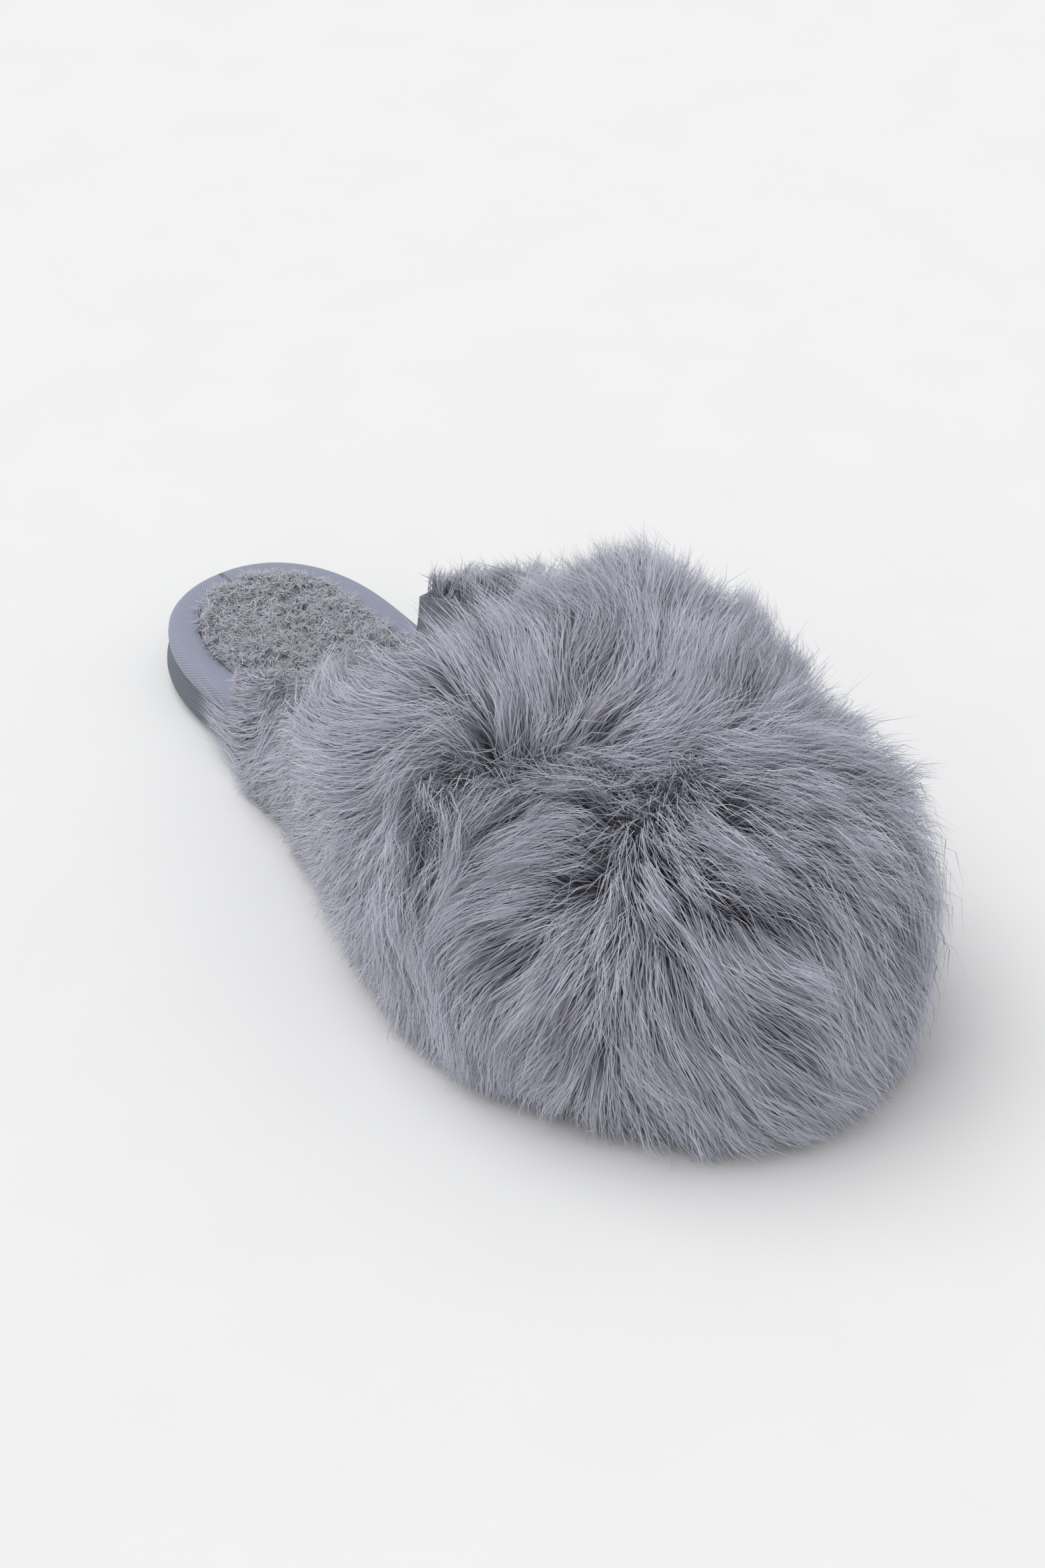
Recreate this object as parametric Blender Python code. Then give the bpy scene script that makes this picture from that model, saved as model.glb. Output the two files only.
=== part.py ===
"""Closed-toe slip-on slipper with a long faux-fur vamp, for the right foot, in its separate pieces.

Metres, +Z up, +Y towards the toe, +X towards the outer side of the foot. The origin is on the floor,
half way along the sole. A height called a lift is measured from the top of the outsole, which falls
from the heel to the forepart, and an inset is measured inwards from the sole's outline.
"""

import math
import random

import bmesh
import bpy
from mathutils import Vector

MM = 0.001

# Sole outline
SOLE_LENGTH = 250 * MM
HEEL_WIDTH = 65 * MM
WAIST_WIDTH = 66 * MM
BALL_WIDTH = 96 * MM
WAIST_SHIFT = 2.5 * MM
TOE_SWING = 2 * MM
HEEL_AT = 0.17
WAIST_AT = 0.38
BALL_AT = 0.72
HEEL_FULLNESS = 2.2
TOE_FULLNESS = {1: 2.0, -1: 2.5}

# Sole heights
HEEL_THICKNESS = 11 * MM
FOREPART_THICKNESS = 6 * MM
RAMP_FROM = 0.30
RAMP_TO = 0.66
TOE_SPRING = 2.5 * MM
SPRING_FROM = 0.84

# Footbed and its edge tape
SEAT_GAP = 0.3 * MM
BOARD_THICKNESS = 4 * MM
PLUSH_DEPTH = 4.6 * MM
PLUSH_SHOULDER = 2.6 * MM
PLUSH_CROWN = 8 * MM
TAPE_THICKNESS = 1.3 * MM
TAPE_REACH = 8 * MM
TAPE_SETBACK = 1.3 * MM
TAPE_SWELL = 0.4 * MM

# Upper: a vamp open at the collar and underneath
UPPER_WALL = 2.5 * MM
UPPER_SETBACK = 2.3 * MM
INSTEP_HEIGHT = 57 * MM
TOE_BOX_HEIGHT = 39 * MM
TOE_BOX_AT = 0.84
THROAT_AT = 0.59
REAR_AT = 0.25
REAR_HEIGHT = 13 * MM
SIDE_BULGE = 3.5 * MM
ARCH_SQUARENESS = 2.5

# Fur pile: a thick coat over the upper, with a skirt that hangs over the side of the sole
PILE_DEPTH = 10.5 * MM
PILE_INNER_DEPTH = 12 * MM
PILE_FRONT_DEPTH = 20 * MM
PILE_TOP_DEPTH = 28 * MM
PILE_COLLAR_DEPTH = 14 * MM
PILE_INNER_COLLAR_DEPTH = 32 * MM
PILE_REAR_DEPTH = 4 * MM
PILE_INNER_REAR_DEPTH = 14 * MM
REAR_FADE = 0.22
REAR_INNER_FADE = 0.10
FRONT_TURN = 0.38
INNER_FADE = 0.25
FOOT_FROM = 0.5
COLLAR_ROLL = 0.35
SKIRT_GAP = 1 * MM
SKIRT_DEPTH = 6 * MM
SKIRT_FRONT_DEPTH = 12 * MM
SKIRT_REAR_DEPTH = 3 * MM
SKIRT_HEM = 3 * MM
SKIRT_POINTS = 5 * MM
WHORL_AT = 0.80
WHORL_SHIFT = 12 * MM
LOCK_LENGTH = 24 * MM
LOCK_REAR_LENGTH = 34 * MM
LOCK_SLOPE = 0.38
LOCK_LOW_SLOPE = 0.6
LOCK_SHORTEST = 8 * MM
LOCK_LOWEST = 12 * MM
LOCK_STEEP_HEIGHT = 26 * MM
LOCK_COLLAR_SIZE = 0.6
LOCK_SPACING = 12 * MM
LOCK_ROOT_STEP = 1.2 * MM
LOCK_DROOP = 0.35
LOCK_INNER_DROOP = 0.1
LOCK_SEED = 11

# Mesh density
SIDE_POINTS = 32
VAMP_COLUMNS = 36
VAMP_ROWS = 10

TAPE_UNDERSIDE = 2 * SEAT_GAP + BOARD_THICKNESS
TAPE_TOP = TAPE_UNDERSIDE + TAPE_THICKNESS
BOARD_INSET = TAPE_SETBACK + TAPE_THICKNESS + SEAT_GAP
FEATHER_INSET = TAPE_SETBACK + UPPER_SETBACK
FEATHER_LIFT = TAPE_TOP + SEAT_GAP


def smooth(value):
    """Eased step from 0 to 1, held outside that range."""
    value = min(1.0, max(0.0, value))
    return value * value * (3 - 2 * value)


def blend(first, second, value):
    return first + (second - first) * value


def end_cap(value, fullness):
    """Share of the width that is left at this share of the way to a rounded end."""
    return max(0.0, 1 - min(1.0, value) ** fullness) ** (1 / fullness)


def along(share):
    """The +Y position at a share of the sole's length from the heel."""
    return (share - 0.5) * SOLE_LENGTH


def share_at(y):
    return min(1.0, max(0.0, y / SOLE_LENGTH + 0.5))


def centre_line(share):
    """The sole's curve: its middle swings to the inner side at the toe."""
    return -TOE_SWING * smooth((share - WAIST_AT) / (1 - WAIST_AT))


def half_width(share, side):
    """From the centre line to the sole's edge; side is 1 for the outer side of the foot, -1 for the inner."""
    waist = WAIST_WIDTH / 2 + side * WAIST_SHIFT
    if share < HEEL_AT:
        return HEEL_WIDTH / 2 * end_cap((HEEL_AT - share) / HEEL_AT, HEEL_FULLNESS)
    if share < WAIST_AT:
        return blend(HEEL_WIDTH / 2, waist, smooth((share - HEEL_AT) / (WAIST_AT - HEEL_AT)))
    if share < BALL_AT:
        return blend(waist, BALL_WIDTH / 2, smooth((share - WAIST_AT) / (BALL_AT - WAIST_AT)))
    return BALL_WIDTH / 2 * end_cap((share - BALL_AT) / (1 - BALL_AT), TOE_FULLNESS[side])


def outline():
    """The sole's outline from the heel tip along the outer side to the toe tip and back."""
    steps = [(1 - math.cos(math.pi * k / SIDE_POINTS)) / 2 for k in range(SIDE_POINTS + 1)]
    walk = [(share, 1) for share in steps] + [(share, -1) for share in reversed(steps[1:-1])]
    return [Vector((centre_line(s) + side * half_width(s, side), along(s), 0)) for s, side in walk]


def outward_normals(ring):
    count = len(ring)
    tangents = [ring[(k + 1) % count] - ring[k - 1] for k in range(count)]
    return [Vector((t.y, -t.x, 0)).normalized() for t in tangents]


OUTLINE = outline()
OUTWARD = outward_normals(OUTLINE)


def inset_ring(distance):
    return [point - normal * distance for point, normal in zip(OUTLINE, OUTWARD)]


def sole_bottom(y):
    return TOE_SPRING * smooth((share_at(y) - SPRING_FROM) / (1 - SPRING_FROM))


def sole_top(y):
    ramp = smooth((share_at(y) - RAMP_FROM) / (RAMP_TO - RAMP_FROM))
    return blend(HEEL_THICKNESS, FOREPART_THICKNESS, ramp) + sole_bottom(y)


def lifted_ring(inset, lift):
    return [Vector((p.x, p.y, sole_top(p.y) + lift)) for p in inset_ring(inset)]


def material(name, colour, roughness):
    made = bpy.data.materials.new(name)
    made.use_nodes = True
    shader = made.node_tree.nodes["Principled BSDF"]
    shader.inputs["Base Color"].default_value = (*colour, 1)
    shader.inputs["Roughness"].default_value = roughness
    shader.inputs["Metallic"].default_value = 0
    return made


def add_object(name, mesh_builder, finish):
    """Links a new object whose faces all point out and are shaded smooth up to 40 degrees."""
    bmesh.ops.recalc_face_normals(mesh_builder, faces=mesh_builder.faces)
    if mesh_builder.calc_volume(signed=True) < 0:
        bmesh.ops.reverse_faces(mesh_builder, faces=mesh_builder.faces)
    mesh = bpy.data.meshes.new(name)
    mesh_builder.to_mesh(mesh)
    mesh_builder.free()
    mesh.shade_smooth()
    mesh.set_sharp_from_angle(angle=math.radians(40))
    mesh.materials.append(finish)
    made = bpy.data.objects.new(name, mesh)
    bpy.context.scene.collection.objects.link(made)
    return made


def ladder_cap(builder, ring):
    """Closes an outline ring with rungs across the foot, so that the cap follows the ramp of the sole."""
    count = len(ring)
    half = count // 2
    builder.faces.new((ring[0], ring[1], ring[-1]))
    builder.faces.new((ring[half - 1], ring[half], ring[half + 1]))
    for k in range(1, half - 1):
        builder.faces.new((ring[k], ring[k + 1], ring[count - k - 1], ring[count - k]))


def join_rings(builder, first, second):
    count = len(first)
    for k in range(count):
        after = (k + 1) % count
        builder.faces.new((first[k], first[after], second[after], second[k]))


def stacked_solid(name, rings, finish):
    """A closed solid through outline rings, capped at the first and the last."""
    builder = bmesh.new()
    loops = [[builder.verts.new(point) for point in ring] for ring in rings]
    for first, second in zip(loops, loops[1:]):
        join_rings(builder, first, second)
    ladder_cap(builder, loops[0])
    ladder_cap(builder, loops[-1])
    return add_object(name, builder, finish)


def hoop_solid(name, rings, finish):
    """A closed hoop through outline rings, the last joined to the first."""
    builder = bmesh.new()
    loops = [[builder.verts.new(point) for point in ring] for ring in rings]
    for first, second in zip(loops, loops[1:] + loops[:1]):
        join_rings(builder, first, second)
    return add_object(name, builder, finish)


def build_outsole(finish):
    """One moulded unit, widest low on its side, with a rounded tread edge."""
    side_profile = (
        # inset, share of the local thickness
        (3.2 * MM, 0.0),
        (1.0 * MM, 0.12),
        (0.0, 0.38),
        (0.5 * MM, 0.72),
        (TAPE_SETBACK, 1.0),
    )
    rings = []
    for inset, share in side_profile:
        ring = inset_ring(inset)
        rings.append([Vector((p.x, p.y, blend(sole_bottom(p.y), sole_top(p.y), share))) for p in ring])
    return stacked_solid("outsole", rings, finish)


def build_footbed(finish):
    """Board under the tape, then the plush, which stands above the tape inside its inner edge."""
    board_top = SEAT_GAP + BOARD_THICKNESS
    plush_edge = TAPE_SETBACK + TAPE_REACH + 2 * SEAT_GAP
    profile = (
        # inset, lift
        (BOARD_INSET, SEAT_GAP),
        (BOARD_INSET, board_top),
        (plush_edge, board_top),
        (plush_edge + 0.2 * PLUSH_SHOULDER, board_top + 0.55 * PLUSH_DEPTH),
        (plush_edge + PLUSH_SHOULDER, board_top + 0.88 * PLUSH_DEPTH),
        (plush_edge + PLUSH_CROWN, board_top + PLUSH_DEPTH),
    )
    return stacked_solid("footbed", [lifted_ring(*row) for row in profile], finish)


def build_edge_tape(finish):
    """Cloth tape folded round the footbed's rim: a rounded outer face and a flange on top."""
    outer = TAPE_SETBACK
    inner = TAPE_SETBACK + TAPE_REACH
    profile = (
        # inset, lift
        (outer, SEAT_GAP),
        (outer - TAPE_SWELL, 0.5 * TAPE_TOP),
        (outer + 0.5 * MM, TAPE_TOP - 1.3 * MM),
        (outer + 1.8 * MM, TAPE_TOP - 0.1 * MM),
        (inner, TAPE_TOP - 0.1 * MM),
        (inner, TAPE_UNDERSIDE),
        (outer + TAPE_THICKNESS, TAPE_UNDERSIDE),
        (outer + TAPE_THICKNESS, SEAT_GAP),
    )
    return hoop_solid("edge_tape", [lifted_ring(*row) for row in profile], finish)


FEATHER = inset_ring(FEATHER_INSET)
FEATHER_OUTER_SIDE = FEATHER[: SIDE_POINTS + 1]
FEATHER_INNER_SIDE = [FEATHER[-k % len(FEATHER)] for k in range(SIDE_POINTS + 1)]


def side_line(side):
    return FEATHER_OUTER_SIDE if side > 0 else FEATHER_INNER_SIDE


def point_on_line(line, y):
    """The point of a side's line at this y."""
    for first, second in zip(line, line[1:]):
        if first.y <= y <= second.y:
            return first.lerp(second, (y - first.y) / max(second.y - first.y, 1e-9))
    return line[-1] if y > line[-1].y else line[0]


def crown_height(y):
    """How far the vamp's ridge stands above the feather line, down to nothing at the toe tip."""
    tip = share_at(FEATHER_OUTER_SIDE[-1].y)
    share = share_at(y)
    fall = smooth((share - THROAT_AT) / (TOE_BOX_AT - THROAT_AT))
    ridge = blend(INSTEP_HEIGHT, TOE_BOX_HEIGHT, fall)
    if share <= TOE_BOX_AT:
        return ridge
    return ridge * end_cap((share - TOE_BOX_AT) / (tip - TOE_BOX_AT), 2.1)


def arch_reach(height_share):
    """Share of the half width at which the arch has this share of its crown height."""
    return max(0.0, 1 - height_share**2) ** (1 / ARCH_SQUARENESS)


def arch_height(reach):
    return math.sqrt(max(0.0, 1 - min(1.0, reach) ** ARCH_SQUARENESS))


def feather_point(turn):
    """The feather line from the outer rear corner (0) round the toe (0.5) to the inner one (1)."""
    side = 1 if turn <= 0.5 else -1
    line = side_line(side)
    start = point_on_line(line, along(REAR_AT))
    kept = [start] + [p for p in line if p.y > start.y]
    steps = [(b - a).length for a, b in zip(kept, kept[1:])]
    target = sum(steps) * (1 - abs(1 - 2 * turn))
    for first, second, length in zip(kept, kept[1:], steps):
        if target <= length:
            return first.lerp(second, target / length)
        target -= length
    return kept[-1].copy()


def collar_point(turn):
    """The collar's plan point: it climbs from each rear corner to the throat in the middle."""
    side = 1 if turn <= 0.5 else -1
    start = math.asin(REAR_HEIGHT / INSTEP_HEIGHT)
    height_share = math.sin(blend(start, math.pi / 2, 1 - abs(1 - 2 * turn)))
    climb = (height_share * INSTEP_HEIGHT - REAR_HEIGHT) / (INSTEP_HEIGHT - REAR_HEIGHT)
    y = blend(along(REAR_AT), along(THROAT_AT), climb)
    middle = centre_line(share_at(y))
    edge = point_on_line(side_line(side), y)
    return Vector((blend(middle, edge.x, arch_reach(height_share)), y, 0))


def vamp_point(turn, ray):
    """The upper's outer face; ray runs from the collar (0) to the feather line (1)."""
    collar = collar_point(turn)
    feather = feather_point(turn)
    plan = collar.lerp(feather, math.sin(ray * math.pi / 2))
    middle = centre_line(share_at(plan.y))
    side = 1 if plan.x >= middle else -1
    edge = point_on_line(side_line(side), plan.y)
    half = max(abs(edge.x - middle), 1e-6)
    rise = arch_height(abs(plan.x - middle) / half) * crown_height(plan.y)
    if ray >= 1:
        rise = 0
    bulge = SIDE_BULGE * math.sin(math.pi * min(1.0, rise / INSTEP_HEIGHT))
    outward = Vector((feather.x - centre_line(share_at(feather.y)), 0.6 * (feather.y - collar.y), 0))
    plan += outward.normalized() * bulge * smooth(3 * (1 - ray) + 0.4)
    return Vector((plan.x, plan.y, sole_top(plan.y) + FEATHER_LIFT + rise))


def vamp_grid():
    """Rows from the collar down to the feather line, each from the outer rear corner to the inner."""
    turns = [k / VAMP_COLUMNS for k in range(VAMP_COLUMNS + 1)]
    return [[vamp_point(turn, row / VAMP_ROWS) for turn in turns] for row in range(VAMP_ROWS + 1)]


def grid_normals(grid):
    """Outward normals of a grid of points, from the differences along its rows and columns."""
    rows, columns = len(grid), len(grid[0])
    normals = []
    for j in range(rows):
        line = []
        for i in range(columns):
            down = grid[min(j + 1, rows - 1)][i] - grid[max(j - 1, 0)][i]
            across = grid[j][min(i + 1, columns - 1)] - grid[j][max(i - 1, 0)]
            line.append(down.cross(across).normalized())
        normals.append(line)
    return normals


def offset_grid(grid, normals, depth):
    """Moves each point along its normal; depth is a function of the row and the column."""
    return [
        [point + normal * depth(j, i) for i, (point, normal) in enumerate(zip(line, directions))]
        for j, (line, directions) in enumerate(zip(grid, normals))
    ]


def shell_mesh(outer, inner, whole_cells=()):
    """A closed wall between two grids, split along the same diagonals so that nested walls keep their gap.

    Returns the builder and the outer faces of the whole cells, by row and column.
    """
    builder = bmesh.new()
    faces = {}
    layers = []
    for grid in (outer, inner):
        layers.append([[builder.verts.new(point) for point in line] for line in grid])
    rows, columns = len(outer), len(outer[0])
    for j in range(rows - 1):
        for i in range(columns - 1):
            for layer, flip in zip(layers, (False, True)):
                corners = (layer[j][i], layer[j + 1][i], layer[j + 1][i + 1], layer[j][i + 1])
                if flip:
                    builder.faces.new((corners[2], corners[1], corners[0]))
                    builder.faces.new((corners[0], corners[3], corners[2]))
                elif (j, i) in whole_cells:
                    faces[j, i] = builder.faces.new(corners)
                else:
                    builder.faces.new((corners[0], corners[1], corners[2]))
                    builder.faces.new((corners[2], corners[3], corners[0]))
    top, bottom = layers
    edge = [(0, i) for i in range(columns)] + [(j, columns - 1) for j in range(1, rows)]
    edge += [(rows - 1, i) for i in range(columns - 2, -1, -1)] + [(j, 0) for j in range(rows - 2, 0, -1)]
    for (j, i), (m, n) in zip(edge, edge[1:] + edge[:1]):
        builder.faces.new((top[j][i], top[m][n], bottom[m][n], bottom[j][i]))
    return builder, faces


def build_upper(finish):
    """The vamp's cloth and lining as one hollow wall that stands on the edge tape."""
    outer = vamp_grid()
    inner = offset_grid(outer, grid_normals(outer), lambda row, column: -UPPER_WALL)
    for point in inner[-1]:
        point.z = sole_top(point.y) + FEATHER_LIFT
    return add_object("upper", shell_mesh(outer, inner)[0], finish)


def from_rear(column):
    """0 at the coat's two rear ends, 1 over the front of the foot; it rises faster on the inner side."""
    turn = column / VAMP_COLUMNS
    return smooth(turn / REAR_FADE) if turn < 0.5 else smooth((1 - turn) / REAR_INNER_FADE)


def at_front(column):
    """1 at the toe, 0 from a quarter of the way along either side."""
    return smooth(1 - 4 * abs(column / VAMP_COLUMNS - FRONT_TURN))


def skirt_depth(column):
    """Depth of the fur that hangs outside the sole: most at the toe, little at the rear."""
    full = blend(SKIRT_DEPTH, SKIRT_FRONT_DEPTH, at_front(column))
    return blend(SKIRT_REAR_DEPTH, full, from_rear(column))


def pile_depth(row, column, facing_up):
    """Depth of the coat over the upper: deep on top and at the inner collar, thin at the rear ends and the foot."""
    inner = smooth((column / VAMP_COLUMNS - 0.5) / INNER_FADE)
    side = blend(blend(PILE_DEPTH, PILE_INNER_DEPTH, inner), PILE_FRONT_DEPTH, at_front(column))
    full = blend(side, PILE_TOP_DEPTH, smooth(facing_up))
    rear = blend(PILE_REAR_DEPTH, PILE_INNER_REAR_DEPTH, inner)
    collar = blend(PILE_COLLAR_DEPTH, PILE_INNER_COLLAR_DEPTH, inner)
    depth = blend(rear, full, from_rear(column))
    foot = FEATHER_INSET + SKIRT_GAP + skirt_depth(column)
    share = row / VAMP_ROWS
    depth = blend(depth, foot, smooth((share - FOOT_FROM) / (1 - FOOT_FROM)))
    return blend(blend(rear, collar, from_rear(column)), depth, smooth(share / COLLAR_ROLL))


def skirt_rows(last_row, last_normals):
    """Rows of the skirt below the feather line, as pairs of outer and inner points."""
    skirt_profile = (
        # share of the skirt's depth, share of the way down to the hem outside and inside
        (1.00, 0.22, 0.0),
        (0.88, 0.58, 0.35),
        (0.50, 1.0, 1.0),
    )
    outer_rows, inner_rows = [], []
    for spread, drop, inner_drop in skirt_profile:
        outer_line, inner_line = [], []
        for column, (point, normal) in enumerate(zip(last_row, last_normals)):
            outward = Vector((normal.x, normal.y, 0)).normalized()
            top = sole_top(point.y) + FEATHER_LIFT + SEAT_GAP
            side = point + outward * (FEATHER_INSET + SKIRT_GAP)
            reach = side + outward * skirt_depth(column) * spread
            hem = SKIRT_HEM + SKIRT_POINTS * (column % 2)
            inner_line.append(Vector((side.x, side.y, blend(top, SKIRT_HEM, inner_drop))))
            outer_line.append(Vector((reach.x, reach.y, blend(top, hem, drop))))
        outer_rows.append(outer_line)
        inner_rows.append(inner_line)
    return outer_rows, inner_rows


def whorl_point():
    """Where the fur parts on top of the vamp; every lock lies away from here."""
    y = along(WHORL_AT)
    x = centre_line(WHORL_AT) + WHORL_SHIFT
    return Vector((x, y, sole_top(y) + FEATHER_LIFT + crown_height(y) + PILE_TOP_DEPTH))


def lock_lie(centre, normal):
    """The way the fur lies at a place: away from the whorl along the coat, with a droop on its sides."""
    away = centre - whorl_point()
    lie = (away - normal * away.dot(normal)).normalized()
    droop = blend(LOCK_DROOP, LOCK_INNER_DROOP, smooth(-normal.x))
    return (lie + Vector((0, 0, -droop)) * (1 - abs(normal.z))).normalized()


def rear_stretch(y):
    """How much further apart the locks are towards the rear, and on the inner side how much longer."""
    rearward = smooth((along(THROAT_AT) - y) / (along(THROAT_AT) - along(REAR_AT)))
    return blend(1, LOCK_REAR_LENGTH / LOCK_LENGTH, rearward)


def full_lock_length(centre):
    """A lock's length where nothing is in its way."""
    return LOCK_LENGTH * (rear_stretch(centre.y) if centre.x < 0 else 1)


def grow_lock(builder, face, scale):
    """Draws one tapered lock out of a face of the coat, laid over the way the fur lies like a shingle."""
    face.normal_update()
    normal = face.normal.copy()
    centre = face.calc_center_median()
    lie = lock_lie(centre, normal)
    slope = blend(LOCK_LOW_SLOPE, LOCK_SLOPE, smooth((centre.z - LOCK_LOWEST) / LOCK_STEEP_HEIGHT))
    length = full_lock_length(centre) * scale
    fall = -(lie + normal * slope).z
    if fall > 0:
        length = min(length, (centre.z - SKIRT_HEM) / fall)
    if length < LOCK_SHORTEST:
        return
    shortest = min(edge.calc_length() for edge in face.edges)
    bmesh.ops.inset_individual(builder, faces=[face], thickness=min(LOCK_ROOT_STEP, 0.15 * shortest))
    path = (
        # share of the length, share of the rise, width against the step before
        (0.30, 0.36, 0.85),
        (0.66, 0.72, 0.75),
    )
    for reach, rise, width in path:
        before = face.calc_center_median()
        face = bmesh.ops.extrude_discrete_faces(builder, faces=[face])["faces"][0]
        target = centre + (lie * reach + normal * slope * rise) * length
        for vert in face.verts:
            vert.co = target + (vert.co - before) * width
    point = bmesh.ops.poke(builder, faces=[face])["verts"][0]
    point.co = centre + (lie + normal * slope) * length


def lock_cells(grid):
    """The cells of the coat that grow a lock, spaced out by the locks' length."""
    cells = []
    centres = []
    for j in range(len(grid) - 2):
        for i in range(VAMP_COLUMNS):
            centre = (grid[j][i] + grid[j + 1][i + 1]) / 2
            spacing = LOCK_SPACING * rear_stretch(centre.y)
            apart = all((centre - other).length > spacing for other in centres)
            if apart and centre.z > LOCK_LOWEST:
                cells.append((j, i))
                centres.append(centre)
    return cells


def build_pile(finish):
    """The fur as one thick coat with tapered locks grown out of its outer face."""
    base = vamp_grid()
    normals = grid_normals(base)
    spread = [[Vector((n.x, n.y, max(n.z, 0))).normalized() for n in line] for line in normals]
    outer = offset_grid(base, spread, lambda row, column: pile_depth(row, column, spread[row][column].z))
    inner = offset_grid(base, normals, lambda row, column: SEAT_GAP)
    for above, shoulder, point in zip(outer[-2], outer[-1], inner[-1]):
        point.z = sole_top(point.y) + FEATHER_LIFT + SEAT_GAP
        shoulder.z = (point.z + above.z) / 2
    skirt_outer, skirt_inner = skirt_rows(base[-1], spread[-1])
    cells = lock_cells(outer + skirt_outer)
    builder, faces = shell_mesh(outer + skirt_outer, inner + skirt_inner, cells)
    chance = random.Random(LOCK_SEED)
    for cell in cells:
        size = LOCK_COLLAR_SIZE if cell[0] == 0 else 1
        grow_lock(builder, faces[cell], size * chance.uniform(0.8, 1.05))
    return add_object("fur_pile", builder, finish)


def clear_scene():
    for old in list(bpy.data.objects):
        bpy.data.objects.remove(old)


def main():
    clear_scene()
    build_outsole(material("outsole_foam", (0.10, 0.115, 0.135), 0.75))
    build_footbed(material("plush", (0.37, 0.38, 0.43), 0.95))
    build_edge_tape(material("twill_tape", (0.29, 0.31, 0.38), 0.6))
    build_upper(material("lining_cloth", (0.26, 0.26, 0.31), 0.9))
    build_pile(material("faux_fur", (0.31, 0.31, 0.36), 0.8))


main()
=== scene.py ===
"""Looks of the fluffy slipper, right shoe: fur, plush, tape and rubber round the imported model."""

import math

import bpy
import numpy as np
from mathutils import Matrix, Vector
from mathutils.bvhtree import BVHTree


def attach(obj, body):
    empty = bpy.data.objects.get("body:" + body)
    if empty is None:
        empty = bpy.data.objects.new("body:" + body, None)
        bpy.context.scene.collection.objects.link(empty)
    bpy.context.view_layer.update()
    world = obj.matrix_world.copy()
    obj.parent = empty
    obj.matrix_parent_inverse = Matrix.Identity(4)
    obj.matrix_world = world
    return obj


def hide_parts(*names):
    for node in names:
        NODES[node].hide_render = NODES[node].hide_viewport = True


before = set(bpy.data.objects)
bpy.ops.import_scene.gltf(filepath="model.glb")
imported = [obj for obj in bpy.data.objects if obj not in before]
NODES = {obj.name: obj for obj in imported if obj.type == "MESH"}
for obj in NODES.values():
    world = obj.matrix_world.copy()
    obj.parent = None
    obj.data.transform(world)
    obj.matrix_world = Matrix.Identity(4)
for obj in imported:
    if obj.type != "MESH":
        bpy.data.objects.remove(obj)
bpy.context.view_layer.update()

MM = 0.001
BODY = "root"

# Sizes of the sole, as in the part's source
SOLE_LENGTH = 250 * MM
HEEL_WIDTH = 65 * MM
WAIST_WIDTH = 66 * MM
BALL_WIDTH = 96 * MM
WAIST_SHIFT = 2.5 * MM
TOE_SWING = 2 * MM
HEEL_AT = 0.17
WAIST_AT = 0.38
BALL_AT = 0.72
HEEL_FULLNESS = 2.2
TOE_FULLNESS = {1: 2.0, -1: 2.5}
HEEL_THICKNESS = 11 * MM
FOREPART_THICKNESS = 6 * MM
RAMP_FROM = 0.30
RAMP_TO = 0.66
TOE_SPRING = 2.5 * MM
SPRING_FROM = 0.84
SEAT_GAP = 0.3 * MM
BOARD_THICKNESS = 4 * MM
PLUSH_DEPTH = 4.6 * MM
TAPE_THICKNESS = 1.3 * MM
TAPE_REACH = 8 * MM
TAPE_SETBACK = 1.3 * MM
TAPE_SWELL = 0.4 * MM
TAPE_UNDERSIDE = 2 * SEAT_GAP + BOARD_THICKNESS
TAPE_TOP = TAPE_UNDERSIDE + TAPE_THICKNESS
BOARD_INSET = TAPE_SETBACK + TAPE_THICKNESS + SEAT_GAP
PLUSH_INSET = TAPE_SETBACK + TAPE_REACH + 2 * SEAT_GAP

OUTLINE_STEPS = 160

# Fur: long guard hairs over a shorter undercoat
FUR_COATS = (
    # name, strands, length, share of the coat's depth, width, points, seed, spread, root level, tip level of
    # the colour ramp; the darker root level is painted shade deep in the coat
    ("fur_guard", 70000, 42 * MM, 1.08, 0.25 * MM, 5, 101, 0.18, 0.30, 0.95),
    ("fur_under", 70000, 27 * MM, 0.72, 0.34 * MM, 3, 201, 0.35, 0.15, 0.70),
)
GUIDE_SETS = (
    # strands, spread
    (260, 0.30),
    (2200, 0.26),
)
GUIDE_SEED = 5
STRAY_SHARE = 0.05
STRAY_LOOSENESS = 3
LOOSENESS = 0.9 * MM
FLOOR_CLEARANCE = 0.6 * MM
COLLAR_LIFT = 7 * MM
COLLAR_BAND = 12 * MM
COMB_PLACES = 2600
COMB_SEED = 7
COAT_SEARCH = 80 * MM
COAT_BLUR = 7 * MM
FREE_LENGTH = 63 * MM
RISE_POWER = 1.9
PIECE_TRIANGLES = 190000

# The line inside the vamp that its outer wall faces away from
WALL_AXIS_REAR = -60 * MM
WALL_AXIS_FRONT = 78 * MM
WALL_AXIS_HEIGHT = 22 * MM
WALL_FACING = 0.25

# The line on the wall that the fur lies away from, from the whorl to its outer end, in millimetres
PARTING = np.array(((9, 78, 50), (15, 70, 53), (20, 60, 55), (24, 48, 53))) * MM

# Soft troughs in the coat, in millimetres; strands whose tips lie in them get painted shade
CREASES = (
    # start, end, radius, depth
    ((0, 50, 84), (-10, 24, 81), 8, 9),
    ((57, 88, 45), (58, 97, 22), 7, 10),
    ((36, 120, 50), (28, 128, 38), 7, 9),
    ((17, 134, 38), (12, 137, 28), 6, 9),
    ((46, 67, 72), (56, 84, 48), 8, 8),
    ((24, 127, 62), (8, 136, 60), 5, 8),
    ((58, 48, 64), (62, 60, 52), 7, 7),
    ((52, 20, 66), (62, 34, 56), 7, 6),
    ((-44, 62, 84), (-52, 74, 72), 7, 7),
)

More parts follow.
